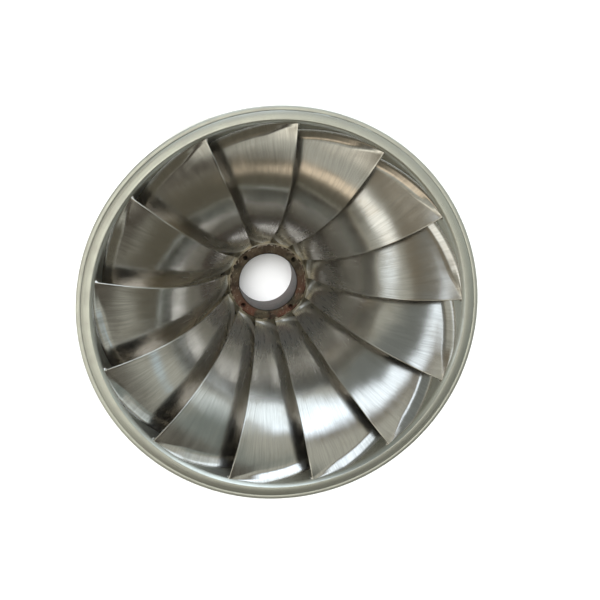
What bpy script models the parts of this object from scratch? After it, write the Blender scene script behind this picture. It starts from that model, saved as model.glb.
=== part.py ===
"""Francis turbine runner, lying on the back of its hub with the discharge side up.

Frame: +Z runs along the shaft axis from the crown to the discharge side, and the origin is the centre of the
hub's back face, so the runner rests on z = 0. The first blade's trailing edge lies over +Y. Units are metres.

Water enters between the rims of the crown and the band, follows the blades inwards and leaves upwards. A blade
is described on the flow passage's section: s runs from the trailing edge (0) to the leading edge (1), and h
runs from the crown (0) to the band (1).
"""
import math

import bmesh
import bpy
import numpy as np
from mathutils import Matrix, Vector
from mathutils.geometry import interpolate_bezier

# Overall
NAME = "francis_turbine_runner"
BLADES = 13
PITCH = 2 * math.pi / BLADES
HEIGHT = 0.432
SEGMENTS = 6 * BLADES
CLEARANCE = 0.0003

# Hub
BORE_RADIUS = 0.073
HUB_RADIUS = 0.097
HUB_HEIGHT = 0.104
HUB_CHAMFER = 0.002
TAPPED_HOLES = 4
TAPPED_HOLE_RADIUS = 0.0058
TAPPED_HOLE_DEPTH = 0.024
TAPPED_CIRCLE_RADIUS = 0.086
TAPPED_AZIMUTH = math.radians(46.2)

# Crown: its flow face falls from the hub's nose to the rim
RIM_RADIUS = 0.400
RIM_Z = 0.038
CROWN_RISE = HUB_HEIGHT - RIM_Z
CROWN_POWER = 3.0
CROWN_BACK_Z = 0.013
CROWN_RELIEVED_Z = 0.018
CROWN_INNER_LAND_RADIUS = 0.150
CROWN_OUTER_LAND_RADIUS = 0.368
CROWN_STATIONS = 10
CROWN_CROWDING = 1.25
RELIEF_HOLE_RADIUS = 0.0065
RELIEF_CIRCLE_RADIUS = 0.119
RELIEF_OFFSET = math.radians(-1.2)

# Band: its flow face is widest at the inlet, narrowest at the throat and opens again to the lip
LIP_RADIUS = 0.400
LIP_STEP = 0.0055
LIP_DROP = 0.006
THROAT_RADIUS = 0.368
THROAT_Z = 0.335
EXIT_RADIUS = LIP_RADIUS - LIP_STEP
EXIT_POWER = 1.4
INLET_Z = 0.230
INLET_RADIUS = 0.400
INLET_ROUND = 0.006
INLET_POWER = 2.0
BAND_STATIONS = 12

# Wear rings, one shrunk on each rim against a shoulder
RING_SEAT_RADIUS = 0.4184
RING_RADIUS = 0.4283
RING_CHAMFER = 0.0015
BAND_RING_BOTTOM = 0.322
CROWN_RING_TOP = 0.034

# Blades
TRAILING_ROOT_RADIUS = 0.1083
TRAILING_TIP_Z = 0.424
TRAILING_ROOT_PULL = (0.082, 0.276)
TRAILING_TIP_PULL = (0.098, 0.0027)
LEADING_RADIUS = 0.398
LEADING_TIP_Z = 0.238
FALL_CROWN = 0.026
FALL_BAND = 0.109
WRAP_CROWN = math.radians(52)
WRAP_BAND = math.radians(48)
TURN_POWER_CROWN = 3.4
TURN_POWER_BAND = 7.0
ROOT_LEAN = math.radians(1.0)
THICKNESS_TRAILING = 0.003
THICKNESS_BODY = 0.012
THICKENING_END = 0.55
CROWN_GAP = 0.0008
BAND_GAP = 0.0009
BODY_COLUMNS = 13
COLUMN_CROWDING = 0.35
NOSE_COLUMNS = 3
NOSE_START = 0.982
NOSE_END_ANGLE = math.radians(75)
ROWS = 8


def clear_scene():
    """Removes whatever the open scene holds."""
    for item in list(bpy.data.objects):
        bpy.data.objects.remove(item)


def collection(name):
    """Adds an empty collection to the scene."""
    group = bpy.data.collections.new(name)
    bpy.context.scene.collection.children.link(group)
    return group


def metal(name, colour, roughness, metallic=1.0):
    """Makes a Principled material."""
    material = bpy.data.materials.new(name)
    material.use_nodes = True
    shader = material.node_tree.nodes["Principled BSDF"]
    shader.inputs["Base Color"].default_value = (*colour, 1.0)
    shader.inputs["Roughness"].default_value = roughness
    shader.inputs["Metallic"].default_value = metallic
    material.diffuse_color = (*colour, 1.0)
    return material


def place(name, mesh, group, material=None):
    """Puts a mesh in a collection as an object of that name."""
    item = bpy.data.objects.new(name, mesh)
    group.objects.link(item)
    if material and not mesh.materials:
        mesh.materials.append(material)
    return item


def shade_round(mesh):
    """Shades a mesh smooth and keeps its corners sharp."""
    mesh.shade_smooth()
    mesh.set_sharp_from_angle(angle=math.radians(30))


# Profiles of the flow passage

def crown_z(radius):
    """Height of the crown's flow face at a radius."""
    inward = (RIM_RADIUS - radius) / (RIM_RADIUS - HUB_RADIUS)
    return RIM_Z + CROWN_RISE * max(inward, 0.0) ** CROWN_POWER


def band_radius(z):
    """Radius of the band's flow face at a height: one curve above the throat and one below it."""
    if z > THROAT_Z:
        end_z = HEIGHT - LIP_DROP
        end_radius = EXIT_RADIUS
        power = EXIT_POWER
    else:
        end_z = INLET_Z
        end_radius = INLET_RADIUS
        power = INLET_POWER
    away = (z - THROAT_Z) / (end_z - THROAT_Z)
    return THROAT_RADIUS + (end_radius - THROAT_RADIUS) * away ** power


def by_length(points):
    """Returns a function from a fraction of a line's length to the point there."""
    line = np.array([tuple(point)[:2] for point in points])
    run = np.concatenate(([0.0], np.cumsum(np.linalg.norm(np.diff(line, axis=0), axis=1))))

    def at(fraction):
        return np.array([np.interp(fraction * run[-1], run, line[:, axis]) for axis in (0, 1)])

    at.length = run[-1]
    return at


def crown_line():
    """The blade's inner edge on the section, just clear of the crown."""
    radii = np.linspace(TRAILING_ROOT_RADIUS, LEADING_RADIUS, 200)
    return by_length([(radius, crown_z(radius) + CROWN_GAP) for radius in radii])


def band_line():
    """The blade's outer edge on the section, just clear of the band."""
    heights = np.linspace(TRAILING_TIP_Z, LEADING_TIP_Z, 200)
    return by_length([(band_radius(z) - BAND_GAP, z) for z in heights])


def trailing_line(inner, outer):
    """The trailing edge on the section: level at the band and steep at the hub."""
    root = Vector((*inner, 0))
    tip = Vector((*outer, 0))
    root_handle = root + Vector((*TRAILING_ROOT_PULL, 0))
    tip_handle = tip - Vector((*TRAILING_TIP_PULL, 0))
    return by_length(interpolate_bezier(root, root_handle, tip_handle, tip, 200))


class Passage:
    """The flow passage's section, and a blade's middle surface in it."""

    def __init__(self):
        self.crown = crown_line()
        self.band = band_line()
        self.trailing = trailing_line(self.crown(0), self.band(0))
        self.leading = by_length([self.crown(1), self.band(1)])

    def section(self, s, h):
        """Radius and height at a place in the passage, blended from its four borders."""
        sides = (1 - h) * self.crown(s) + h * self.band(s)
        ends = (1 - s) * self.trailing(h) + s * self.leading(h)
        inner = (1 - s) * self.crown(0) + s * self.crown(1)
        outer = (1 - s) * self.band(0) + s * self.band(1)
        return sides + ends - (1 - h) * inner - h * outer

    def middle(self, u, h):
        """A point of the blade's middle surface; u runs from the trailing to the leading edge."""
        wrap = WRAP_CROWN + (WRAP_BAND - WRAP_CROWN) * h
        power = TURN_POWER_CROWN + (TURN_POWER_BAND - TURN_POWER_CROWN) * h
        length = self.crown.length + (self.band.length - self.crown.length) * h
        fall = FALL_CROWN + (FALL_BAND - FALL_CROWN) * h
        steady = fall * wrap / length
        radius, z = self.section(steady * u + (1 - steady) * u ** power, h)
        azimuth = ROOT_LEAN * (1 - h) ** 3 + wrap * u
        return Vector((radius * math.cos(azimuth), radius * math.sin(azimuth), z))

    def half_angle(self, u, h, thickness):
        """The turn about the axis that moves the middle surface by half the thickness."""
        step = 1e-4
        along = self.middle(min(u + step, 1), h) - self.middle(max(u - step, 0), h)
        across = self.middle(u, min(h + step, 1)) - self.middle(u, max(h - step, 0))
        point = self.middle(u, h)
        tangent = Vector((-point.y, point.x, 0))
        return thickness / 2 / abs(along.cross(across).normalized().dot(tangent))


def column_place(column):
    """Place of a column of the blade along its length, and its thickness there."""
    if column <= BODY_COLUMNS:
        share = column / BODY_COLUMNS
        u = NOSE_START * share * (1 + COLUMN_CROWDING * (1 - share))
        nose = 1.0
    else:
        angle = NOSE_END_ANGLE * (column - BODY_COLUMNS) / NOSE_COLUMNS
        u = NOSE_START + (1 - NOSE_START) * math.sin(angle) / math.sin(NOSE_END_ANGLE)
        nose = math.cos(angle)
    grown = math.sin(math.pi / 2 * min(u / THICKENING_END, 1.0))
    return u, nose * (THICKNESS_TRAILING + (THICKNESS_BODY - THICKNESS_TRAILING) * grown)


def blade_mesh():
    """One blade: a flat sheet given two sides, each side then bent to its place in the passage."""
    passage = Passage()
    columns = BODY_COLUMNS + NOSE_COLUMNS
    shape = bmesh.new()
    bmesh.ops.create_grid(shape, x_segments=columns, y_segments=ROWS, size=0.5)
    bmesh.ops.solidify(shape, geom=shape.faces[:], thickness=1.0)
    for vertex in shape.verts:
        column = round((vertex.co.x + 0.5) * columns)
        h = vertex.co.y + 0.5
        side = 1 if abs(vertex.co.z) > 0.5 else -1
        u, thickness = column_place(column)
        turn = side * passage.half_angle(u, h, thickness)
        vertex.co = Matrix.Rotation(turn, 3, "Z") @ passage.middle(u, h)
    bmesh.ops.recalc_face_normals(shape, faces=shape.faces[:])
    mesh = bpy.data.meshes.new("blade")
    shape.to_mesh(mesh)
    shape.free()
    shade_round(mesh)
    return mesh


# Turned pieces

def turned(name, outline, group, material):
    """Turns a closed outline of (radius, z) points, listed down its outer side first, about the axis."""
    mesh = bpy.data.meshes.new(name)
    count = len(outline)
    edges = [(index, (index + 1) % count) for index in range(count)]
    mesh.from_pydata([(radius, 0, z) for radius, z in outline], edges, [])
    item = place(name, mesh, group, material)
    screw = item.modifiers.new("turn", "SCREW")
    screw.axis = "Z"
    screw.steps = SEGMENTS
    screw.render_steps = SEGMENTS
    screw.use_merge_vertices = True
    screw.merge_threshold = 1e-5
    screw.use_smooth_shade = True
    return item


def drill(item, group, radius, circle_radius, bottom, top, azimuths):
    """Cuts upright round holes of one size through an object, on a circle about the axis."""
    for number, azimuth in enumerate(azimuths, 1):
        shape = bmesh.new()
        bmesh.ops.create_cone(
            shape, cap_ends=True, segments=12, radius1=radius, radius2=radius, depth=top - bottom)
        mesh = bpy.data.meshes.new("drill")
        shape.to_mesh(mesh)
        shape.free()
        cutter = place(f"{item.name}_drill_{number:02d}", mesh, group)
        centre = (circle_radius * math.cos(azimuth), circle_radius * math.sin(azimuth), (top + bottom) / 2)
        cutter.location = centre
        cutter.rotation_euler.z = azimuth
        cutter.hide_render = True
        cutter.display_type = "WIRE"
        cut = item.modifiers.new("hole", "BOOLEAN")
        cut.operation = "DIFFERENCE"
        cut.solver = "EXACT"
        cut.object = cutter


def build_hub(group, cutters, material):
    """The boss round the shaft bore, with tapped holes in its nose."""
    outline = [
        (HUB_RADIUS - HUB_CHAMFER, HUB_HEIGHT),
        (HUB_RADIUS, HUB_HEIGHT - HUB_CHAMFER),
        (HUB_RADIUS, 0),
        (BORE_RADIUS + HUB_CHAMFER, 0),
        (BORE_RADIUS, HUB_CHAMFER),
        (BORE_RADIUS, HUB_HEIGHT - HUB_CHAMFER),
        (BORE_RADIUS + HUB_CHAMFER, HUB_HEIGHT),
    ]
    hub = turned("hub", outline, group, material)
    azimuths = [TAPPED_AZIMUTH + 2 * math.pi / TAPPED_HOLES * number for number in range(TAPPED_HOLES)]
    bottom = HUB_HEIGHT - TAPPED_HOLE_DEPTH
    drill(hub, cutters, TAPPED_HOLE_RADIUS, TAPPED_CIRCLE_RADIUS, bottom, HUB_HEIGHT + 0.01, azimuths)


def build_crown(group, cutters, material):
    """The disc that carries the blades' inner ends, with a relief hole into each passage."""
    inner = HUB_RADIUS + CLEARANCE
    radii = inner + (RIM_RADIUS - inner) * np.linspace(0, 1, CROWN_STATIONS + 1) ** CROWN_CROWDING
    flow_face = [(float(radius), crown_z(float(radius))) for radius in radii]
    outline = flow_face + [
        (RING_RADIUS, RIM_Z),
        (RING_RADIUS, CROWN_RING_TOP + CLEARANCE),
        (RING_SEAT_RADIUS, CROWN_RING_TOP + CLEARANCE),
        (RING_SEAT_RADIUS, CROWN_BACK_Z),
        (CROWN_OUTER_LAND_RADIUS, CROWN_BACK_Z),
        (CROWN_OUTER_LAND_RADIUS, CROWN_RELIEVED_Z),
        (CROWN_INNER_LAND_RADIUS, CROWN_RELIEVED_Z),
        (CROWN_INNER_LAND_RADIUS, CROWN_BACK_Z),
        (inner, CROWN_BACK_Z),
    ]
    crown = turned("crown", outline, group, material)
    azimuths = [math.pi / 2 + RELIEF_OFFSET - PITCH * number for number in range(BLADES)]
    drill(crown, cutters, RELIEF_HOLE_RADIUS, RELIEF_CIRCLE_RADIUS, 0, HUB_HEIGHT + 0.01, azimuths)


def build_band(group, material):
    """The ring that closes the passages outside, with a seat for its wear ring."""
    upper = [float(z) for z in np.linspace(HEIGHT - LIP_DROP, THROAT_Z, BAND_STATIONS // 2 + 1)]
    lower = [float(z) for z in np.linspace(THROAT_Z, INLET_Z + INLET_ROUND, BAND_STATIONS // 2 + 1)]
    flow_face = [(band_radius(z), z) for z in upper + lower[1:]]
    outline = [
        (RING_SEAT_RADIUS, HEIGHT),
        (RING_SEAT_RADIUS, BAND_RING_BOTTOM - CLEARANCE),
        (RING_RADIUS, BAND_RING_BOTTOM - CLEARANCE),
        (RING_RADIUS, INLET_Z + INLET_ROUND),
        (RING_RADIUS - INLET_ROUND, INLET_Z),
        (INLET_RADIUS + INLET_ROUND, INLET_Z),
    ] + flow_face[::-1] + [(LIP_RADIUS, HEIGHT)]
    turned("band", outline, group, material)


def build_wear_ring(name, bottom, top, group, material):
    """A ring shrunk on a rim, chamfered outside."""
    inner = RING_SEAT_RADIUS + CLEARANCE
    outline = [
        (RING_RADIUS - RING_CHAMFER, top),
        (RING_RADIUS, top - RING_CHAMFER),
        (RING_RADIUS, bottom + RING_CHAMFER),
        (RING_RADIUS - RING_CHAMFER, bottom),
        (inner, bottom),
        (inner, top),
    ]
    turned(name, outline, group, material)


def build_blades(group, material):
    """The blades share one mesh; the first lies over +Y and they count clockwise from above."""
    mesh = blade_mesh()
    for number in range(BLADES):
        blade = place(f"blade_{number + 1:02d}", mesh, group, material)
        blade.rotation_euler.z = math.pi / 2 - PITCH * number


def main():
    """Builds the runner."""
    clear_scene()
    group = collection(NAME)
    cutters = collection("cutters")
    build_hub(group, cutters, metal("rusty_boss", (0.23, 0.13, 0.09), 0.65, 0.6))
    build_crown(group, cutters, metal("ground_crown", (0.45, 0.44, 0.41), 0.4))
    build_band(group, metal("machined_band", (0.55, 0.55, 0.5), 0.45))
    ring = metal("machined_ring", (0.6, 0.6, 0.56), 0.4)
    build_wear_ring("band_wear_ring", BAND_RING_BOTTOM, HEIGHT, group, ring)
    build_wear_ring("crown_wear_ring", CROWN_BACK_Z, CROWN_RING_TOP, group, ring)
    build_blades(group, metal("polished_blade", (0.5, 0.5, 0.47), 0.25))


main()
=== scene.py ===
"""Looks of the francis turbine runner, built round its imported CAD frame.

The runner lies on the back of its hub with the discharge side up. Each turned piece and each blade is
modelled again with finer faces, weld fillets and broken edges, and stands for the CAD node of the same name.
Units are metres, and +Z runs along the shaft axis.
"""

import logging
import math
from contextlib import contextmanager
from dataclasses import dataclass
from enum import Enum
from typing import Iterator, Sequence

import bpy
import numpy as np
from mathutils import Matrix, Vector

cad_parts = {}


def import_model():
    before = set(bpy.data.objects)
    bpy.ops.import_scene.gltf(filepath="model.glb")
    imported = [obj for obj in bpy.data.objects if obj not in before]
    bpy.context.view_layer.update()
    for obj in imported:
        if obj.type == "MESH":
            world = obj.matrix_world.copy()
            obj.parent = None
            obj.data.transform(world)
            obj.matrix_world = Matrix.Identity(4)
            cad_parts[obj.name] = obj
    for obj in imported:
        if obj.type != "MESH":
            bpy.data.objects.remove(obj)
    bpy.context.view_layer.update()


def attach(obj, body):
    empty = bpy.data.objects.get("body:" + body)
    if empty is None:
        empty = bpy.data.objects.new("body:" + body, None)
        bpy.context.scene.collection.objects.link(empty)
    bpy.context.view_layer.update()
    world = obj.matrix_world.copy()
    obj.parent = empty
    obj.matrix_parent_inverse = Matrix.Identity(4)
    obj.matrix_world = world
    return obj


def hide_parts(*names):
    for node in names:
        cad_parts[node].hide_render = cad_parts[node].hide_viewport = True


LOG = logging.getLogger("runner")
BLADES = 13
PITCH = 2 * math.pi / BLADES
TURN_STEPS = 24 * BLADES
EDGE_ANGLE = math.radians(24)
SLOPE_STEP = 1e-4

Array = np.ndarray
Arrays = tuple[Array, ...]
Item = bpy.types.Object
Material = bpy.types.Material
Socket = bpy.types.NodeSocket
Point = tuple[float, float]
Colour = tuple[float, float, float]


class Slot(Enum):
    """Names of the material slots."""

    BLADE = "polished_blade"
    CROWN = "ground_crown"
    BAND = "machined_band"
    RING = "machined_ring"
    BOSS = "rusty_boss"


# Bench work


def dropped() -> None:
    """Deselects every object."""
    bpy.ops.object.select_all(action="DESELECT")


def picked(item: Item) -> None:
    """Selects one object alone and makes it the active one.

    Args:
        item: The object.
    """
    dropped()
    item.select_set(True)
    bpy.context.view_layer.objects.active = item


@contextmanager
def editing(item: Item) -> Iterator[None]:
    """Holds one object in edit mode with all of it selected.

    Args:
        item: The object to edit.
    """
    picked(item)
    bpy.ops.object.mode_set(mode="EDIT")
    bpy.ops.mesh.select_all(action="SELECT")
    yield
    bpy.ops.object.mode_set(mode="OBJECT")


def started(name: str) -> Item:
    """Names the primitive that was just added.

    Args:
        name: Name for the object and its mesh.

    Returns:
        The new object.
    """
    item = bpy.context.object
    item.name = name
    item.data.name = name
    return item


def placed(item: Item) -> Item:
    """Moves an object's place into its mesh.

    Args:
        item: The object, anywhere in the scene.

    Returns:
        The same object, at the origin and unturned.
    """
    picked(item)
    bpy.ops.object.transform_apply(location=True, rotation=True, scale=True)
    return item


def modified(item: Item, kind: str, **settings: object) -> None:
    """Adds a modifier to an object and applies it.

    Args:
        item: The object.
        kind: The modifier's type.
        **settings: Its settings by name.
    """
    picked(item)
    modifier = item.modifiers.new(kind.lower(), kind)
    for key, value in settings.items():
        setattr(modifier, key, value)
    bpy.ops.object.modifier_apply(modifier=modifier.name)


def broken(item: Item, width: float, segments: int = 2) -> None:
    """Breaks a piece's sharp edges with a narrow bevel."""
    modified(item, "BEVEL", width=width, segments=segments, limit_method="ANGLE", angle_limit=EDGE_ANGLE)


def shaded(item: Item, degrees: float = 30.0) -> None:
    """Shades an object smooth, and keeps corners above an angle sharp."""
    picked(item)
    bpy.ops.object.shade_smooth_by_angle(angle=math.radians(degrees))


def turned(name: str, outline: Sequence[Point], steps: int = TURN_STEPS) -> Item:
    """Turns a closed outline about the shaft axis.

    Args:
        name: Name for the piece.
        outline: Its (radius, z) points in order.
        steps: Number of steps in a full turn.

    Returns:
        The turned piece.
    """
    dropped()
    bpy.ops.mesh.primitive_circle_add(vertices=len(outline), radius=1.0, fill_type="NOTHING")
    item = started(name)
    for vertex, (radius, z) in zip(item.data.vertices, outline):
        vertex.co = (radius, 0.0, z)
    with editing(item):
        bpy.ops.mesh.spin(steps=steps, angle=2 * math.pi, center=(0, 0, 0), axis=(0, 0, 1))
        bpy.ops.mesh.select_all(action="SELECT")
        bpy.ops.mesh.remove_doubles(threshold=1e-6)
        bpy.ops.mesh.normals_make_consistent(inside=False)
    return item


def joined(name: str, items: Sequence[Item]) -> Item:
    """Joins objects into one.

    Args:
        name: Name for the result.
        items: The objects.

    Returns:
        The joined object.
    """
    dropped()
    for item in items:
        item.select_set(True)
    bpy.context.view_layer.objects.active = items[0]
    bpy.ops.object.join()
    return started(name)


def copied(item: Item, name: str, azimuth: float) -> Item:
    """Copies an object with its own mesh, turned about the shaft axis.

    Args:
        item: The object.
        name: Name for the copy.
        azimuth: The turn in radians.

    Returns:
        The copy.
    """
    mesh = item.data.copy()
    mesh.transform(Matrix.Rotation(azimuth, 4, "Z"))
    copy = bpy.data.objects.new(name, mesh)
    bpy.context.scene.collection.objects.link(copy)
    return copy


def drilled(item: Item, drill: Item, azimuths: Sequence[float]) -> None:
    """Cuts one drill's shape out of an object at several turns about the shaft axis.

    Args:
        item: The object to cut.
        drill: The shape at azimuth 0, which is used up.
        azimuths: Turns in radians.
    """
    cutter = joined("drills", [copied(drill, "drill", azimuth) for azimuth in azimuths])
    bpy.data.objects.remove(drill)
    modified(item, "BOOLEAN", operation="DIFFERENCE", solver="EXACT", object=cutter)
    bpy.data.objects.remove(cutter)


# Shape of the water passage


def running(steps: Array) -> Array:
    """Adds up steps from 0, with the 0 kept."""
    return np.concatenate(([0.0], np.cumsum(steps)))


def about_axis(radius: Array, azimuth: Array, z: Array) -> Array:
    """Places points about the shaft axis, with a last axis of (x, y, z)."""
    return np.stack((radius * np.cos(azimuth), radius * np.sin(azimuth), z), axis=-1)


class Line:
    """A line of (radius, z) points that is read by the fraction of its length."""

    def __init__(self, points: Array) -> None:
        """Measures the line.

        Args:
            points: The points in order, one a row.
        """
        run = running(np.linalg.norm(np.diff(points, axis=0), axis=1))
        self.points = points
        self.length = float(run[-1])
        self.fractions = run / run[-1]

    def at(self, fraction: Array | float) -> Array:
        """Reads the (radius, z) points at fractions of the length."""
        columns = [np.interp(fraction, self.fractions, self.points[:, axis]) for axis in (0, 1)]
        return np.stack(columns, axis=-1)


@dataclass
class Passage:
    """The water passage's section and the blades' middle surface in it, with the CAD's own sizes."""

    height: float = 0.432
    hub_radius: float = 0.097
    hub_height: float = 0.104
    rim_radius: float = 0.400
    rim_z: float = 0.038
    crown_power: float = 3.0
    lip_drop: float = 0.006
    exit_radius: float = 0.3945
    throat_radius: float = 0.368
    throat_z: float = 0.335
    exit_power: float = 1.4
    inlet_z: float = 0.230
    inlet_radius: float = 0.400
    inlet_power: float = 2.0
    trailing_root_radius: float = 0.1083
    trailing_tip_z: float = 0.424
    trailing_root_pull: Point = (0.082, 0.276)
    trailing_tip_pull: Point = (0.098, 0.0027)
    leading_radius: float = 0.398
    leading_tip_z: float = 0.238
    fall_crown: float = 0.026
    fall_band: float = 0.109
    wrap_crown: float = math.radians(52)
    wrap_band: float = math.radians(48)
    turn_power_crown: float = 3.4
    turn_power_band: float = 7.0
    root_lean: float = math.radians(1.0)
    samples: int = 2000

    def __post_init__(self) -> None:
        """Lays out the four borders of a blade on the section."""
        radii = np.linspace(self.trailing_root_radius, self.leading_radius, self.samples)
        heights = np.linspace(self.trailing_tip_z, self.leading_tip_z, self.samples)
        self.crown = Line(np.stack((radii, self.crown_z(radii)), axis=-1))
        self.band = Line(np.stack((self.band_radius(heights), heights), axis=-1))
        inner, outer = self.crown.at(0.0), self.band.at(0.0)
        pull = outer - self.trailing_tip_pull
        t = np.linspace(0, 1, self.samples)[:, None]
        curve = (1 - t) ** 3 * inner + 3 * (1 - t) ** 2 * t * (inner + self.trailing_root_pull)
        self.trailing = Line(curve + 3 * (1 - t) * t ** 2 * pull + t ** 3 * outer)
        self.leading = Line(np.stack((self.crown.at(1.0), self.band.at(1.0))))

    def crown_z(self, radius: Array) -> Array:
        """Height of the crown's flow face at a radius."""
        inward = np.clip((self.rim_radius - radius) / (self.rim_radius - self.hub_radius), 0.0, None)
        return self.rim_z + (self.hub_height - self.rim_z) * inward ** self.crown_power

    def crown_slope(self, radius: Array) -> Array:
        """Rise of the crown's flow face for each metre outwards."""
        return (self.crown_z(radius + SLOPE_STEP) - self.crown_z(radius - SLOPE_STEP)) / (2 * SLOPE_STEP)

    def band_radius(self, z: Array) -> Array:
        """Gives the radius of the band's flow face, which is a curve above the throat and another below it.

        Args:
            z: Heights.

        Returns:
            The radii there.
        """
        above = z > self.throat_z
        end_z = np.where(above, self.height - self.lip_drop, self.inlet_z)
        end_radius = np.where(above, self.exit_radius, self.inlet_radius)
        away = (z - self.throat_z) / (end_z - self.throat_z)
        power = np.where(above, self.exit_power, self.inlet_power)
        return self.throat_radius + (end_radius - self.throat_radius) * away ** power

    def band_slope(self, z: Array) -> Array:
        """Growth of the band's flow radius for each metre upwards."""
        return (self.band_radius(z + SLOPE_STEP) - self.band_radius(z - SLOPE_STEP)) / (2 * SLOPE_STEP)

    def section(self, s: Array, h: Array) -> Array:
        """Blends a place in the section from its four borders.

        Args:
            s: From the trailing edge (0) to the leading edge (1).
            h: From the crown (0) to the band (1).

        Returns:
            The (radius, z) places.
        """
        t, g = s[..., None], h[..., None]
        sides = (1 - g) * self.crown.at(s) + g * self.band.at(s)
        ends = (1 - t) * self.trailing.at(h) + t * self.leading.at(h)
        inner = (1 - t) * self.crown.at(0.0) + t * self.crown.at(1.0)
        outer = (1 - t) * self.band.at(0.0) + t * self.band.at(1.0)
        return sides + ends - (1 - g) * inner - g * outer

    def middle(self, u: Array, h: Array) -> Array:
        """Finds points of a blade's middle surface, its trailing edge over +X.

        Args:
            u: From the trailing edge (0) to the leading edge (1).
            h: From the crown (0) to the band (1).

        Returns:
            The points, with a last axis of (x, y, z).
        """
        wrap = self.wrap_crown + (self.wrap_band - self.wrap_crown) * h
        power = self.turn_power_crown + (self.turn_power_band - self.turn_power_crown) * h
        length = self.crown.length + (self.band.length - self.crown.length) * h
        fall = self.fall_crown + (self.fall_band - self.fall_crown) * h
        steady = fall * wrap / length
        place = self.section(steady * u + (1 - steady) * np.maximum(u, 0.0) ** power, h)
        azimuth = self.root_lean * (1 - h) ** 3 + wrap * u
        return about_axis(place[..., 0], azimuth, place[..., 1])


def unit(vectors: Array) -> Array:
    """Scales vectors on the last axis to length 1."""
    return vectors / np.linalg.norm(vectors, axis=-1, keepdims=True)


def square_to(vectors: Array, normal: Array) -> Array:
    """Lays vectors into the plane square to unit normals, at length 1."""
    return unit(vectors - np.sum(vectors * normal, axis=-1, keepdims=True) * normal)


def eased(value: Array) -> Array:
    """Eases a ramp from 0 to 1, flat at both ends."""
    held = np.clip(value, 0.0, 1.0)
    return held * held * (3 - 2 * held)


# Finishes


class Graph:
    """Adds and links shader nodes in one tree."""

    def __init__(self, tree: bpy.types.NodeTree) -> None:
        """Takes the tree of a material or of the world."""
        self.tree = tree

    def add(self, kind: str, inputs: dict[str | int, object] | None = None,
            **settings: object) -> bpy.types.Node:
        """Adds a node.

        Args:
            kind: The node's type.
            inputs: Values or sockets by input name or number.
            **settings: The node's own settings.

        Returns:
            The node.
        """
        node = self.tree.nodes.new(kind)
        for key, value in settings.items():
            setattr(node, key, value)
        for key, value in (inputs or {}).items():
            self.feed(node.inputs[key], value)
        return node

    def feed(self, socket: Socket, value: object) -> None:
        """Links a socket to an input, or sets the input's value.

        Args:
            socket: The input.
            value: An output socket, a number or a tuple.
        """
        if isinstance(value, Socket):
            self.tree.links.new(value, socket)
        else:
            socket.default_value = value

    def math(self, operation: str, a: object, b: object = 0.0) -> Socket:
        """Adds a Math node and gives its result."""
        return self.add("ShaderNodeMath", {0: a, 1: b}, operation=operation).outputs[0]

    def times(self, a: object, b: object) -> Socket:
        """Multiplies two numbers."""
        return self.math("MULTIPLY", a, b)

    def plus(self, a: object, b: object) -> Socket:
        """Adds two numbers."""
        return self.math("ADD", a, b)

    def from_axis(self, x: object, y: object) -> Socket:
        """Gives the distance from the shaft axis."""
        return self.math("SQRT", self.plus(self.times(x, x), self.times(y, y)))

    def stretch(self, value: object, low: float, high: float, to_low: float = 0.0, to_high: float = 1.0,
                way: str = "LINEAR") -> Socket:
        """Maps one range of numbers to another, held at both ends."""
        inputs = {0: value, 1: low, 2: high, 3: to_low, 4: to_high}
        return self.add("ShaderNodeMapRange", inputs, interpolation_type=way).outputs[0]

    def noise(self, vector: object, scale: float, detail: float = 3.0, roughness: float = 0.5,
              distortion: float = 0.0) -> Socket:
        """Adds a noise texture and gives its number."""
        inputs = {"Vector": vector, "Scale": scale, "Detail": detail, "Roughness": roughness}
        return self.add("ShaderNodeTexNoise", inputs | {"Distortion": distortion}).outputs["Fac"]

    def apart(self, vector: object) -> tuple[Socket, ...]:
        """Splits a vector into x, y and z."""
        return tuple(self.add("ShaderNodeSeparateXYZ", {0: vector}).outputs)

    def vector(self, x: object, y: object, z: object) -> Socket:
        """Joins three numbers into a vector."""
        return self.add("ShaderNodeCombineXYZ", {0: x, 1: y, 2: z}).outputs[0]

    def streaks(self, along: object, across: object, repeats: Point, layer: object, detail: float = 3.0,
                roughness: float = 0.6) -> Socket:
        """Adds a noise in streaks, by its repeats in each metre along and across, on a layer of its own."""
        place = self.vector(self.times(along, repeats[0]), self.times(across, repeats[1]), layer)
        return self.noise(place, 1.0, detail, roughness)

    def mix(self, factor: object, a: object, b: object) -> Socket:
        """Mixes two colours.

        Args:
            factor: The share of the second colour.
            a: The first colour, a socket or three numbers.
            b: The second colour.

        Returns:
            The mixed colour.
        """
        four = [(*colour, 1.0) if isinstance(colour, tuple) else colour for colour in (a, b)]
        inputs = {0: factor, 6: four[0], 7: four[1]}
        return self.add("ShaderNodeMix", inputs, data_type="RGBA").outputs[2]

    def bump(self, height: object, distance: float, normal: Socket | None = None) -> Socket:
        """Adds a bump.

        Args:
            height: The height's number.
            distance: What a height of 1 stands for, in metres.
            normal: A normal to build on.

        Returns:
            The bump's normal.
        """
        inputs = {"Height": height, "Distance": distance, "Strength": 1.0}
        if normal is not None:
            inputs["Normal"] = normal
        return self.add("ShaderNodeBump", inputs).outputs["Normal"]


class Coat(Graph):
    """The shader nodes of one material."""

    def __init__(self, name: str) -> None:
        """Starts the material with a Principled shader.

        Args:
            name: The material's name.
        """
        self.material = bpy.data.materials.new(name)
        self.material.use_nodes = True
        super().__init__(self.material.node_tree)
        self.shader = self.tree.nodes["Principled BSDF"]

    def finish(self, **inputs: object) -> Material:
        """Feeds the Principled shader.

        Args:
            **inputs: Values or sockets by the input's name, with underscores for spaces.

        Returns:
            The material.
        """
        for key, value in inputs.items():
            self.feed(self.shader.inputs[key.replace("_", " ")], value)
        return self.material


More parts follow.
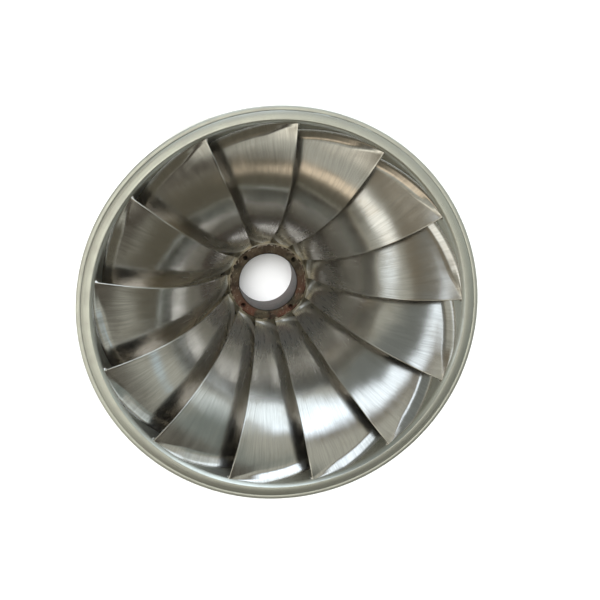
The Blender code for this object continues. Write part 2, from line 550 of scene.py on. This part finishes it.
def dimmed(colour: Colour, share: float) -> Colour:
    """Scales a colour's channels."""
    return tuple(channel * share for channel in colour)


@dataclass(frozen=True)
class BrushedFinish:
    """Stainless steel that was belt-ground by hand and then polished."""

    name: str
    colour: Colour = (0.62, 0.60, 0.56)
    stain: Colour = (0.40, 0.34, 0.25)
    # Painted shade: a darker, duller colour on the blades' deep roots towards the crown.
    root_shade_tint: Colour = (0.40, 0.37, 0.31)
    root_shade_end: float = 0.20
    root_shine: float = 0.45
    roughness: float = 0.20
    roughness_change: float = 0.05
    anisotropy: float = 0.4
    wander: float = 0.006
    fine_repeats: Point = (420.0, 16.0)
    broad_repeats: Point = (170.0, 9.0)
    swell_repeats: Point = (26.0, 15.0)
    swell: float = 0.0011
    marks: float = 0.00006

    def make(self) -> Material:
        """Makes the material, with brush marks across the blade's UV map and a darker, duller tint of
        painted shade towards the crown.

        Returns:
            The material.
        """
        graph = Coat(self.name)
        place = graph.add("ShaderNodeUVMap").outputs[0]
        along, across, _ = graph.apart(place)
        drift = graph.stretch(graph.noise(place, 7.0, 2.0), 0.3, 0.7, -self.wander, self.wander)
        moved = graph.plus(along, drift)
        fine = graph.streaks(moved, across, self.fine_repeats, 0.0)
        broad = graph.streaks(moved, across, self.broad_repeats, 3.0)
        both = graph.plus(graph.times(fine, 0.5), graph.times(broad, 0.5))
        patch = graph.noise(place, 16.0, 4.0, 0.6)
        tone = graph.mix(graph.stretch(fine, 0.40, 0.66, 0.0, 0.4), self.colour, dimmed(self.colour, 0.7))
        stained = graph.mix(graph.stretch(patch, 0.52, 0.8, 0.0, 0.4), tone, self.stain)
        # Mask of the painted shade at the roots: strongest at the crown, fading out across the blade.
        root = graph.times(graph.stretch(across, 0.02, self.root_shade_end, 0.8, 0.0),
                           graph.stretch(patch, 0.35, 0.65, 0.7, 1.0))
        low, high = self.roughness - self.roughness_change, self.roughness + self.roughness_change
        roughness = graph.plus(graph.stretch(both, 0.3, 0.7, low, high),
                               graph.stretch(patch, 0.3, 0.7, -0.03, 0.04))
        off_root = graph.stretch(across, 0.01, 0.10, 0.05, 1.0)
        swell = graph.streaks(moved, across, self.swell_repeats, 7.0, 1.5, 0.5)
        normal = graph.bump(graph.times(swell, off_root), self.swell)
        normal = graph.bump(graph.times(both, off_root), self.marks, normal)
        return graph.finish(
            Base_Color=graph.mix(root, stained, self.root_shade_tint),
            Metallic=graph.stretch(root, 0.0, 1.0, 1.0, self.root_shine),
            Roughness=graph.plus(roughness, graph.times(root, 0.14)),
            Anisotropic=self.anisotropy,
            Tangent=graph.add("ShaderNodeTangent", direction_type="UV_MAP").outputs[0],
            Normal=normal,
        )


@dataclass(frozen=True)
class TurnedFinish:
    """Machined steel with turning marks about the shaft axis, and a few stains."""

    name: str
    colour: Colour
    roughness: float
    roughness_change: float = 0.07
    stain: Colour = (0.47, 0.43, 0.40)
    repeats: float = 800.0
    groove: float = 0.00003

    def make(self) -> Material:
        """Makes the material, with its marks at equal radii and heights.

        Returns:
            The material.
        """
        graph = Coat(self.name)
        place = graph.add("ShaderNodeTexCoord").outputs["Object"]
        x, y, z = graph.apart(place)
        turn = graph.times(graph.math("ARCTAN2", y, x), 1.5)
        lines = graph.streaks(graph.from_axis(x, y), z, (self.repeats, self.repeats), turn, 3.0, 0.65)
        patch = graph.noise(place, 30.0, 5.0, 0.65)
        spots = graph.noise(place, 150.0, 3.0, 0.6)
        low, high = self.roughness - self.roughness_change, self.roughness + self.roughness_change
        roughness = graph.plus(graph.stretch(lines, 0.3, 0.7, low, high),
                               graph.stretch(patch, 0.3, 0.7, -0.03, 0.03))
        tone = graph.mix(graph.stretch(lines, 0.35, 0.75, 0.0, 0.3), self.colour, dimmed(self.colour, 0.8))
        cloudy = graph.mix(graph.stretch(patch, 0.45, 0.75, 0.0, 0.3), tone, self.stain)
        colour = graph.mix(graph.stretch(spots, 0.66, 0.72, 0.0, 0.35), cloudy, self.stain)
        normal = graph.bump(lines, self.groove)
        return graph.finish(Base_Color=colour, Metallic=1.0, Roughness=roughness, Normal=normal)


@dataclass(frozen=True)
class RustFinish:
    """Rough iron with oil and scale, red-brown rust on one side, bright scratches and weld beads, and
    painted shade darkening the bore.
    """

    name: str
    scale: Colour = (0.030, 0.024, 0.017)
    oiled: Colour = (0.16, 0.125, 0.08)
    rust: Colour = (0.19, 0.082, 0.052)
    bare: Colour = (0.72, 0.62, 0.52)
    bore_radius: float = 0.0742
    rim_radius: float = 0.0925
    scratch_repeats: Point = (55.0, 700.0)
    lumps: float = 0.0012
    pits: float = 0.00025

    def scratches(self, graph: Coat, along: object, across: object, layer: float) -> Socket:
        """Lays short straight scratches: 1 on a scratch, and 0 beside it."""
        lines = graph.streaks(along, across, self.scratch_repeats, layer, 1.0, 0.5)
        return graph.stretch(lines, 0.70, 0.76)

    def make(self) -> Material:
        """Makes the material on the object's own coordinates.

        Returns:
            The material.
        """
        graph = Coat(self.name)
        place = graph.add("ShaderNodeTexCoord").outputs["Object"]
        x, y, _ = graph.apart(place)
        radius = graph.from_axis(x, y)
        coarse = graph.noise(place, 38.0, 6.0, 0.62, 0.4)
        grit = graph.noise(place, 420.0, 4.0, 0.6)
        base = graph.mix(graph.stretch(coarse, 0.38, 0.62), self.scale, self.oiled)
        low_side = graph.stretch(graph.math("SUBTRACT", graph.times(x, 0.3), y), -0.02, 0.06, 0.15, 1.0)
        red = graph.times(low_side, graph.stretch(graph.noise(place, 24.0, 5.0), 0.42, 0.54))
        # Painted shade: the bore's wall is darkened most of the way to the scale colour, and kept free of
        # bright scratches.
        bore_shade = graph.stretch(radius, self.bore_radius, self.bore_radius + 0.002, 1.0, 0.0)
        dark = graph.mix(graph.times(bore_shade, 0.8), graph.mix(red, base, self.rust), self.scale)
        one_way = self.scratches(graph, graph.plus(x, y), graph.math("SUBTRACT", x, y), 0.0)
        other_way = self.scratches(graph, graph.math("SUBTRACT", y, graph.times(x, 0.4)), x, 5.0)
        weld = graph.times(graph.stretch(radius, self.rim_radius, self.rim_radius + 0.003),
                           graph.stretch(graph.noise(place, 130.0, 3.0), 0.50, 0.58))
        bright = graph.math("MAXIMUM", graph.math("MAXIMUM", one_way, other_way), weld)
        clean = graph.times(bright, graph.math("SUBTRACT", 1.0, bore_shade))
        return graph.finish(
            Base_Color=graph.mix(clean, dark, self.bare),
            Metallic=graph.stretch(clean, 0.0, 1.0, 0.5, 1.0),
            Roughness=graph.stretch(clean, 0.0, 1.0, 0.48, 0.28),
            Normal=graph.bump(grit, self.pits, graph.bump(coarse, self.lumps)),
        )


@dataclass(frozen=True)
class FloorFinish:
    """Plain pale floor."""

    name: str
    colour: Colour = (0.90, 0.90, 0.90)
    roughness: float = 0.85

    def make(self) -> Material:
        """Makes the material with a faint grain.

        Returns:
            The material.
        """
        graph = Coat(self.name)
        grain = graph.noise(graph.add("ShaderNodeTexCoord").outputs["Object"], 40.0, 3.0)
        colour = graph.mix(graph.stretch(grain, 0.3, 0.7, 0.0, 0.05), self.colour, dimmed(self.colour, 0.9))
        return graph.finish(Base_Color=colour, Roughness=self.roughness)


def dressed(item: Item, material: Material, node: str) -> None:
    """Gives a piece its finish and puts it in a CAD node's place.

    Args:
        item: The finished piece.
        material: Its finish.
        node: The CAD node that it stands for.
    """
    item.data.materials.clear()
    item.data.materials.append(material)
    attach(item, "root")
    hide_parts(node)


def triangles(item: Item) -> int:
    """Counts an object's triangles."""
    return sum(len(face.vertices) - 2 for face in item.data.polygons)


# The runner's pieces


@dataclass
class Blades:
    """The 13 blades, each with its weld fillets at the crown and at the band."""

    passage: Passage
    body_columns: int = 92
    body_rows: int = 34
    edge_steps: int = 5
    nose_steps: int = 7
    trailing_thickness: float = 0.003
    body_thickness: float = 0.012
    thickening_end: float = 0.55
    trailing_run: float = 0.33
    leading_run: float = 0.62
    band_leg: float = 0.018
    crown_leg: float = 0.011
    crown_start: float = 0.30
    band_start: float = 0.45
    fillet_growth: float = 0.22
    fillet_fading: float = 0.86
    fillet_end: float = 0.2
    fillet_blend: float = 0.35
    fillet_steps: int = 10
    fillet_samples: int = 400
    row_samples: int = 240
    lip_room: float = 0.0005
    inlet_room: float = 0.008
    least_room: float = 0.08
    sink: float = 0.0002
    wrap_share: float = 0.5
    corner: float = math.radians(9)
    uv_height: float = 0.30
    sharp_corner: float = 60.0
    finish: BrushedFinish = BrushedFinish("polished_blade")

    def fillet(self, leg: float) -> Arrays:
        """Lays out a ground fillet: a slope of 45 degrees that blends into both faces.

        Args:
            leg: Its size on each face.

        Returns:
            Distances from the wall, and how far the blade's face stands out there.
        """
        run = np.linspace(0, 1, self.fillet_samples)
        blend = self.fillet_blend
        late = np.where(run > 1 - blend, 1 + (run - 1 + blend) / blend, 1.0)
        angle = np.where(run < blend, run / blend, late) * math.pi / 4
        x, y = running(np.cos(angle[:-1])), running(np.sin(angle[:-1]))
        picks = np.linspace(0, 1, self.fillet_steps + 1)
        out = leg * (1 - np.interp(picks, run, x / x[-1]))
        return leg * np.interp(picks, run, y / y[-1]), out

    def grown(self, u: Array, start: float) -> Array:
        """Gives a fillet's share of its full size along the blade, from its start at the trailing edge."""
        return start + (1 - start) * eased(u / self.fillet_growth)

    def rows(self, u: Array) -> Arrays:
        """Places the rows of every column across the passage.

        Args:
            u: The columns' places along the blade.

        Returns:
            The rows' places h by column, and how far the crown's and the band's fillets stand out there.
        """
        crown_away, crown_out = self.fillet(self.crown_leg)
        band_away, band_out = self.fillet(self.band_leg)
        grid = np.linspace(0, 1, self.row_samples)
        uu, hh = np.meshgrid(u, grid, indexing="ij")
        from_crown, from_band = self.distances(self.passage.middle(uu, hh))
        lower, upper = [], []
        crown_size, band_size = self.grown(u, self.crown_start), self.grown(u, self.band_start)
        for column in range(len(u)):
            lower.append(np.interp(crown_away * crown_size[column], from_crown[column], grid))
            rising = from_band[column][::-1]
            upper.append(np.interp(band_away * band_size[column], rising, grid[::-1])[::-1])
        lower, upper = np.array(lower), np.array(upper)
        steps = np.linspace(0, 1, self.body_rows + 1)[1:-1]
        middle = lower[:, -1:] + (upper[:, :1] - lower[:, -1:]) * steps
        h = np.concatenate((lower, middle, upper), axis=1)
        none = np.zeros(len(steps))
        crown = np.concatenate((crown_out, none, np.zeros(len(band_out))))
        band = np.concatenate((np.zeros(len(crown_out)), none, band_out[::-1]))
        return h, np.outer(crown_size, crown), np.outer(band_size, band)

    def distances(self, points: Array) -> Arrays:
        """Measures how far points are from the crown's and the band's flow faces.

        Args:
            points: Points with a last axis of (x, y, z).

        Returns:
            Their distances from the crown and from the band.
        """
        radius = np.hypot(points[..., 0], points[..., 1])
        z = points[..., 2]
        from_crown = (z - self.passage.crown_z(radius)) / np.hypot(1, self.passage.crown_slope(radius))
        from_band = (self.passage.band_radius(z) - radius) / np.hypot(1, self.passage.band_slope(z))
        return from_crown, from_band

    def columns(self) -> Arrays:
        """Places the columns along the blade, crowded on the round edges.

        Returns:
            Their places u, and the sideways and lengthwise parts of the way that the skin stands out.
        """
        edge = np.linspace(self.corner, math.pi / 2, self.edge_steps + 1)[:-1]
        nose = np.linspace(math.pi / 2, self.corner, self.nose_steps + 1)[1:]
        start = np.full(self.edge_steps, self.trailing_thickness / 2 / self.trailing_run)
        end = np.full(self.nose_steps, 1 - self.body_thickness / 2 / self.leading_run)
        body = np.linspace(start[0], end[0], self.body_columns + 1)
        u = np.concatenate((start, body, end))
        side = np.concatenate((np.sin(edge), np.ones(len(body)), np.sin(nose)))
        lengthwise = np.concatenate((-np.cos(edge), np.zeros(len(body)), np.cos(nose)))
        return u, side, lengthwise

    def walls(self, middle: Array) -> Arrays:
        """Finds the ways that the crown's and the band's flow faces look, beside the middle surface.

        Args:
            middle: The middle surface by column and row.

        Returns:
            Unit normals of the crown and of the band.
        """
        radius = np.hypot(middle[..., 0], middle[..., 1])[..., None]
        outward = middle[..., :2] / radius
        crown = np.concatenate((-self.passage.crown_slope(radius) * outward, np.ones_like(radius)), axis=-1)
        band = np.concatenate((-outward, self.passage.band_slope(middle[..., 2:])), axis=-1)
        return unit(crown), unit(band)

    def skins(self) -> Arrays:
        """Works out both skins of the first blade.

        Returns:
            Points of the lower and the upper skin by column and row, and the UV places in metres.
        """
        u, side, lengthwise = self.columns()
        h, crown_out, band_out = self.rows(u)
        uu = np.repeat(u[:, None], h.shape[1], axis=1)
        middle = self.passage.middle(uu, h)
        along = unit(self.passage.middle(uu + SLOPE_STEP, h) - self.passage.middle(uu - SLOPE_STEP, h))
        low, high = np.clip(h - SLOPE_STEP, 0, 1), np.clip(h + SLOPE_STEP, 0, 1)
        normal = unit(np.cross(along, self.passage.middle(uu, high) - self.passage.middle(uu, low)))
        normal *= np.sign(normal[..., 2].mean())
        crown_wall, band_wall = self.walls(middle)
        from_crown, from_band = self.distances(middle)
        grown = np.sin(math.pi / 2 * np.minimum(uu / self.thickening_end, 1.0))
        half = (self.trailing_thickness + (self.body_thickness - self.trailing_thickness) * grown) / 2
        fading = eased((uu - self.fillet_fading) / (1 - self.fillet_fading))
        size = 1 - (1 - self.fillet_end) * fading
        sideways, forwards = side[:, None, None], lengthwise[:, None, None]
        wrap = np.where(forwards < 0, self.wrap_share, 1.0) * forwards
        skins = []
        for sign in (-1.0, 1.0):
            points = middle + (sign * sideways * normal + forwards * along) * half[..., None]
            for wall, out in ((crown_wall, crown_out), (band_wall, band_out)):
                foot = square_to(sign * normal, wall)
                room = self.room(middle, foot, half) if wall is band_wall else 1.0
                share = (out * size * room)[..., None]
                points = points + share * (sideways * foot + wrap * square_to(along, wall))
            skins.append(self.held(points, from_crown, from_band))
        run = running(np.linalg.norm(np.diff(middle[:, h.shape[1] // 2], axis=0), axis=1))
        run += lengthwise * half[:, 0]
        uv = np.stack((np.repeat(run[:, None], h.shape[1], axis=1), h * self.uv_height), axis=-1)
        return skins[0], skins[1], uv

    def room(self, middle: Array, foot: Array, half: Array) -> Array:
        """Finds what share of the band's fillet fits between a blade and the band's lip or inlet edge.

        Args:
            middle: The middle surface by column and row.
            foot: The way that the fillet's foot runs.
            half: Half the blade's thickness.

        Returns:
            The share by column and row.
        """
        z = middle[..., -1:, 2]
        rise = foot[..., -1:, 2]
        top = self.passage.height - self.passage.lip_drop - self.lip_room - z
        bottom = z - self.passage.inlet_z - self.inlet_room
        free = np.where(rise > 0, top, bottom) / np.maximum(np.abs(rise), 1e-3) - half[..., -1:]
        return np.clip(free / self.band_leg, self.least_room, 1.0) * np.ones_like(half)

    def held(self, points: Array, from_crown: Array, from_band: Array) -> Array:
        """Holds a skin's points at their middle's distance from the walls, close to the walls.

        Args:
            points: The skin's points.
            from_crown: Distance of the middle surface from the crown.
            from_band: Distance of the middle surface from the band.

        Returns:
            The points, moved.
        """
        radius = np.hypot(points[..., 0], points[..., 1])
        azimuth = np.arctan2(points[..., 1], points[..., 0])
        z = points[..., 2]
        sunk_band = np.where(from_band < 1e-5, -self.sink, from_band)
        sunk_crown = np.where(from_crown < 1e-5, -self.sink, from_crown)
        band_weight = 1 - eased((from_band - self.band_leg) / (3 * self.band_leg))
        wanted = self.passage.band_radius(z) - sunk_band * np.hypot(1, self.passage.band_slope(z))
        radius = radius + band_weight * (wanted - radius)
        crown_weight = 1 - eased((from_crown - self.crown_leg) / (3 * self.crown_leg))
        level = self.passage.crown_z(radius) + sunk_crown * np.hypot(1, self.passage.crown_slope(radius))
        return about_axis(radius, azimuth, z + crown_weight * (level - z))

    def first(self) -> Item:
        """Models the first blade: a flat grid extruded to a slab, then bent between the crown and the band.

        Returns:
            The blade, its trailing edge over +Y.
        """
        lower, upper, uv = self.skins()
        columns, rows = lower.shape[0] - 1, lower.shape[1] - 1
        dropped()
        bpy.ops.mesh.primitive_grid_add(x_subdivisions=columns, y_subdivisions=rows, size=1.0)
        item = started("dressed_blade_01")
        with editing(item):
            bpy.ops.mesh.extrude_region_move(TRANSFORM_OT_translate={"value": (0, 0, 1)})
        mesh = item.data
        flat = np.zeros(len(mesh.vertices) * 3)
        mesh.vertices.foreach_get("co", flat)
        flat = flat.reshape(-1, 3)
        column = np.rint((flat[:, 0] + 0.5) * columns).astype(int)
        row = np.rint((flat[:, 1] + 0.5) * rows).astype(int)
        top = flat[:, 2] > 0.5
        bent = np.where(top[:, None], upper[column, row], lower[column, row])
        mesh.vertices.foreach_set("co", bent.ravel())
        corners = np.zeros(len(mesh.loops), int)
        mesh.loops.foreach_get("vertex_index", corners)
        mesh.uv_layers[0].data.foreach_set("uv", uv[column[corners], row[corners]].ravel())
        mesh.transform(Matrix.Rotation(math.pi / 2, 4, "Z"))
        with editing(item):
            bpy.ops.mesh.normals_make_consistent(inside=False)
        shaded(item, self.sharp_corner)
        return item

    def build(self) -> list[Item]:
        """Models the first blade, copies it round the shaft and dresses all of them.

        Returns:
            The blades.
        """
        material = self.finish.make()
        blades = [self.first()]
        for number in range(1, BLADES):
            blades.append(copied(blades[0], f"dressed_blade_{number + 1:02d}", -PITCH * number))
        for number, blade in enumerate(blades, 1):
            dressed(blade, material, f"blade_{number:02d}")
        return blades


@dataclass
class Band:
    """The outer ring that closes the passages on the discharge side."""

    passage: Passage
    lip_radius: float = 0.400
    seat_radius: float = 0.4184
    outer_radius: float = 0.4283
    shoulder_z: float = 0.3217
    foot: float = 0.004
    foot_rise: float = 0.006
    stations: int = 40
    edge: float = 0.0010
    finish: TurnedFinish = TurnedFinish("machined_band", (0.66, 0.67, 0.61), 0.33)

    def build(self) -> list[Item]:
        """Turns the ring, breaks its edges and dresses it.

        Returns:
            The ring.
        """
        top = self.passage.height
        low = self.passage.inlet_z
        heights = np.linspace(low + self.foot_rise, top - self.passage.lip_drop, self.stations)
        face = [(float(self.passage.band_radius(z)), float(z)) for z in heights]
        outline = [
            (self.lip_radius, top),
            (self.seat_radius, top),
            (self.seat_radius, self.shoulder_z),
            (self.outer_radius, self.shoulder_z),
            (self.outer_radius, low + self.foot),
            (self.outer_radius - self.foot, low),
            (self.passage.inlet_radius + self.foot, low),
            *face,
        ]
        item = turned("dressed_band", outline)
        broken(item, self.edge, 3)
        shaded(item)
        dressed(item, self.finish.make(), "band")
        return [item]


@dataclass
class WearRings:
    """The two rings shrunk on the rims of the band and of the crown."""

    seat_radius: float = 0.4187
    outer_radius: float = 0.4283
    chamfer: float = 0.0015
    edge: float = 0.0004
    levels: Sequence[tuple[str, float, float]] = (
        ("band_wear_ring", 0.322, 0.432),
        ("crown_wear_ring", 0.013, 0.034),
    )
    finish: TurnedFinish = TurnedFinish("machined_ring", (0.69, 0.70, 0.64), 0.34)

    def build(self) -> list[Item]:
        """Turns and dresses both rings.

        Returns:
            The rings.
        """
        material = self.finish.make()
        rings = []
        for node, bottom, top in self.levels:
            outline = [
                (self.seat_radius, bottom),
                (self.seat_radius, top),
                (self.outer_radius - self.chamfer, top),
                (self.outer_radius, top - self.chamfer),
                (self.outer_radius, bottom + self.chamfer),
                (self.outer_radius - self.chamfer, bottom),
            ]
            item = turned(f"dressed_{node}", outline)
            broken(item, self.edge)
            shaded(item)
            dressed(item, material, node)
            rings.append(item)
        return rings


@dataclass
class Crown:
    """The disc that carries the blades' inner ends, with a relief hole into each passage."""

    passage: Passage
    inner_radius: float = 0.0973
    outer_radius: float = 0.4283
    seat_radius: float = 0.4184
    seat_top: float = 0.0343
    back_z: float = 0.013
    relieved_z: float = 0.018
    inner_land: float = 0.150
    outer_land: float = 0.368
    land_slope: float = 0.003
    stations: int = 60
    edge: float = 0.0008
    hole_radius: float = 0.0065
    hole_circle: float = 0.119
    hole_offset: float = math.radians(-1.2)
    drill_length: float = 0.2
    drill_middle: float = 0.08
    finish: TurnedFinish = TurnedFinish("ground_crown", (0.66, 0.60, 0.48), 0.30)

    def build(self) -> list[Item]:
        """Turns the disc, drills it and dresses it.

        Returns:
            The disc.
        """
        radii = np.linspace(self.passage.rim_radius, self.inner_radius, self.stations)
        face = [(float(radius), float(self.passage.crown_z(radius))) for radius in radii]
        outline = [
            *face,
            (self.inner_radius, self.back_z),
            (self.inner_land, self.back_z),
            (self.inner_land + self.land_slope, self.relieved_z),
            (self.outer_land - self.land_slope, self.relieved_z),
            (self.outer_land, self.back_z),
            (self.seat_radius, self.back_z),
            (self.seat_radius, self.seat_top),
            (self.outer_radius, self.seat_top),
            (self.outer_radius, self.passage.rim_z),
        ]
        item = turned("dressed_crown", outline)
        broken(item, self.edge)
        dropped()
        bpy.ops.mesh.primitive_cylinder_add(vertices=40, radius=self.hole_radius, depth=self.drill_length,
                                            location=(self.hole_circle, 0, self.drill_middle))
        drill = placed(started("drill"))
        drilled(item, drill, [math.pi / 2 + self.hole_offset - PITCH * number for number in range(BLADES)])
        shaded(item)
        dressed(item, self.finish.make(), "crown")
        return [item]


@dataclass
class Hub:
    """The boss round the shaft bore, with four tapped holes in its face."""

    bore_radius: float = 0.073
    outer_radius: float = 0.097
    height: float = 0.104
    chamfer: float = 0.002
    back_chamfer: float = 0.0015
    edge: float = 0.0006
    hole_radius: float = 0.0050
    hole_depth: float = 0.024
    hole_circle: float = 0.086
    hole_azimuth: float = math.radians(46.2)
    hole_steps: int = 32
    drill_point: float = 0.003
    thread_depth: float = 0.0008
    thread_pitch: float = 0.00175
    thread_flat: float = 0.0004
    thread_end: float = 0.002
    sink_depth: float = 0.0018
    sink_width: float = 0.0012
    sink_over: float = 0.001
    finish: RustFinish = RustFinish("rusty_boss")

    def tap(self) -> Item:
        """Models the shape that cuts a tapped hole, over +X.

        Returns:
            The shape.
        """
        top = self.height + self.sink_over
        bottom = self.height - self.hole_depth
        wide = self.hole_radius + self.thread_depth
        outline = [(0.0, bottom - self.drill_point), (self.hole_radius, bottom)]
        for number in range(int((self.hole_depth - self.thread_end) / self.thread_pitch)):
            z = bottom + number * self.thread_pitch
            outline += [(self.hole_radius, z + self.thread_flat), (wide, z + self.thread_pitch / 2)]
        outline += [(self.hole_radius, self.height - self.sink_depth), (wide + self.sink_width, top)]
        outline.append((0.0, top))
        item = turned("tap", outline, self.hole_steps)
        item.data.transform(Matrix.Translation((self.hole_circle, 0, 0)))
        return item

    def build(self) -> list[Item]:
        """Turns the boss, taps its holes and dresses it.

        Returns:
            The boss.
        """
        outline = [
            (self.outer_radius - self.chamfer, self.height),
            (self.outer_radius, self.height - self.chamfer),
            (self.outer_radius, self.back_chamfer),
            (self.outer_radius - self.back_chamfer, 0.0),
            (self.bore_radius + self.chamfer, 0.0),
            (self.bore_radius, self.chamfer),
            (self.bore_radius, self.height - self.chamfer),
            (self.bore_radius + self.chamfer, self.height),
        ]
        item = turned("dressed_hub", outline)
        broken(item, self.edge)
        drilled(item, self.tap(), [self.hole_azimuth + math.pi / 2 * number for number in range(4)])
        shaded(item)
        dressed(item, self.finish.make(), "hub")
        return [item]


# The studio


@dataclass(frozen=True)
class Card:
    """A soft card of light, or a dark one, far from the runner. Angles are in degrees."""

    name: str
    azimuth: float
    tilt: float
    half_width: float
    half_height: float
    roll: float
    softness: float
    colour: Colour

    def over(self, graph: Graph, direction: Socket, light: object) -> Socket:
        """Lays the card over the light of the cards before it.

        Args:
            graph: The world's nodes.
            direction: The direction that light comes from.
            light: The colour of the light without this card.

        Returns:
            The colour with it.
        """
        turn = Matrix.Identity(3)
        for angle, axis in ((self.azimuth, "Z"), (self.tilt, "Y"), (self.roll, "Z")):
            turn = turn @ Matrix.Rotation(math.radians(angle), 3, axis)
        inputs = {"Vector": direction, "Location": turn.col[2], "Rotation": turn.to_euler(),
                  "Scale": (math.radians(self.half_height), math.radians(self.half_width), 1.0)}
        near = graph.add("ShaderNodeMapping", inputs, vector_type="TEXTURE").outputs[0]
        level = graph.add("ShaderNodeTexGradient", {0: near}, gradient_type="SPHERICAL").outputs["Fac"]
        return graph.mix(graph.stretch(level, 0.0, self.softness, way="SMOOTHSTEP"), light, self.colour)


@dataclass
class Studio:
    """The floor, the soft light and the camera at the photograph's viewing angle."""

    lens: float = 45.357
    camera_place: tuple[float, float, float] = (-0.22218, 0.37782, 1.97143)
    camera_tilt: Point = (0.2308, 0.1447)
    camera_turn: float = math.radians(4.663)
    floor_size: float = 40.0
    room_light: Colour = (0.54, 0.55, 0.49)
    low_light: Colour = (0.20, 0.19, 0.15)
    low_light_heights: Point = (0.04, 0.20)
    backdrop: Colour = (1.0, 1.0, 1.0)
    floor_lamp_side: tuple[float, float, float] = (-0.9, 1.2, 3.0)
    floor_lamp_spread: float = math.radians(50)
    floor_lamp_strength: float = 4.2
    cards: Sequence[Card] = (
        Card("zenith", 225, 8, 26, 20, 0, 0.6, (1.75, 1.72, 1.52)),
        Card("roof", 125, 19, 60, 21, 0, 0.4, (0.22, 0.19, 0.14)),
        Card("north_low", 125, 53, 32, 43, 0, 0.4, (0.22, 0.24, 0.23)),
        Card("north_strip", 95, 39, 14, 34, 0, 0.45, (1.6, 1.8, 2.0)),
        Card("window", 64, 63, 24, 31, 8, 0.5, (2.2, 2.55, 2.95)),
        Card("window_east", 59, 71, 22, 17, -12, 0.1, (1.5, 1.7, 1.85)),
        Card("east_low", 17, 66, 17, 15, -23, 0.3, (1.0, 1.12, 1.15)),
        Card("southeast", 355, 46, 50, 14, -34, 0.7, (0.2, 0.24, 0.23)),
        Card("east_strip", 338, 64, 9, 9, 5, 0.8, (0.68, 0.85, 0.95)),
        Card("south_dark", 286, 84, 85, 37, -20, 0.17, (0.13, 0.12, 0.09)),
        Card("south_high", 292, 31, 32, 14, 0, 0.35, (0.05, 0.04, 0.03)),
        Card("cream", 225, 57, 40, 10, 0, 0.6, (1.14, 0.97, 0.74)),
        Card("west", 186, 69, 15, 20, -38, 0.85, (1.2, 1.3, 1.35)),
        Card("white_west", 210, 58, 9, 18, 25, 0.6, (1.6, 1.65, 1.6)),
    )

    def light_room(self) -> bpy.types.World:
        """Makes the world's light from its cards, and the plain backdrop that the camera sees.

        Returns:
            The world.
        """
        world = bpy.data.worlds.new("studio")
        world.use_nodes = True
        graph = Graph(world.node_tree)
        direction = graph.add("ShaderNodeTexCoord").outputs["Generated"]
        high = graph.stretch(graph.apart(direction)[2], *self.low_light_heights)
        light = graph.mix(high, self.low_light, self.room_light)
        for card in self.cards:
            light = card.over(graph, direction, light)
        seen = graph.add("ShaderNodeLightPath").outputs["Is Camera Ray"]
        graph.feed(graph.tree.nodes["Background"].inputs["Color"], graph.mix(seen, light, self.backdrop))
        return world

    def light_floor(self, floor: Item) -> None:
        """Hangs a soft far lamp that lights the floor alone.

        Args:
            floor: The floor.
        """
        data = bpy.data.lights.new("floor_lamp", "SUN")
        data.angle = self.floor_lamp_spread
        data.energy = self.floor_lamp_strength
        lamp = bpy.data.objects.new("floor_lamp", data)
        lamp.rotation_euler = (-Vector(self.floor_lamp_side)).to_track_quat("-Z", "Y").to_euler()
        bpy.context.scene.collection.objects.link(lamp)
        lit = bpy.data.collections.new("lit_by_floor_lamp")
        lit.objects.link(floor)
        lamp.light_linking.receiver_collection = lit

    def build(self) -> None:
        """Sets up the floor, the light and the camera."""
        dropped()
        bpy.ops.mesh.primitive_plane_add(size=self.floor_size)
        floor = started("floor")
        floor.data.materials.append(FloorFinish("floor").make())
        self.light_floor(floor)
        scene = bpy.context.scene
        scene.world = self.light_room()
        scene.view_settings.view_transform = "Standard"
        data = bpy.data.cameras.new("camera")
        data.lens = self.lens
        camera = bpy.data.objects.new("camera", data)
        tilt = Matrix.Rotation(self.camera_tilt[0], 3, "X") @ Matrix.Rotation(self.camera_tilt[1], 3, "Y")
        turn = Matrix.Rotation(self.camera_turn, 3, "Z") @ tilt.transposed()
        camera.matrix_world = Matrix.Translation(self.camera_place) @ turn.to_4x4()
        scene.collection.objects.link(camera)
        scene.camera = camera


def corners(box: object) -> list[list[float]]:
    """Writes a box's two corners as plain lists."""
    return [[round(float(value), 6) for value in corner] for corner in box]


def main() -> None:
    """Builds the runner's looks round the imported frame, then the studio."""
    logging.basicConfig(level=logging.INFO, format="%(name)s: %(message)s")
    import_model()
    passage = Passage()
    for assembly in (Blades(passage), Band(passage), WearRings(), Crown(passage), Hub()):
        for item in assembly.build():
            LOG.info("%s: %d triangles", item.name, triangles(item))
    Studio().build()


if __name__ == "__main__":
    main()
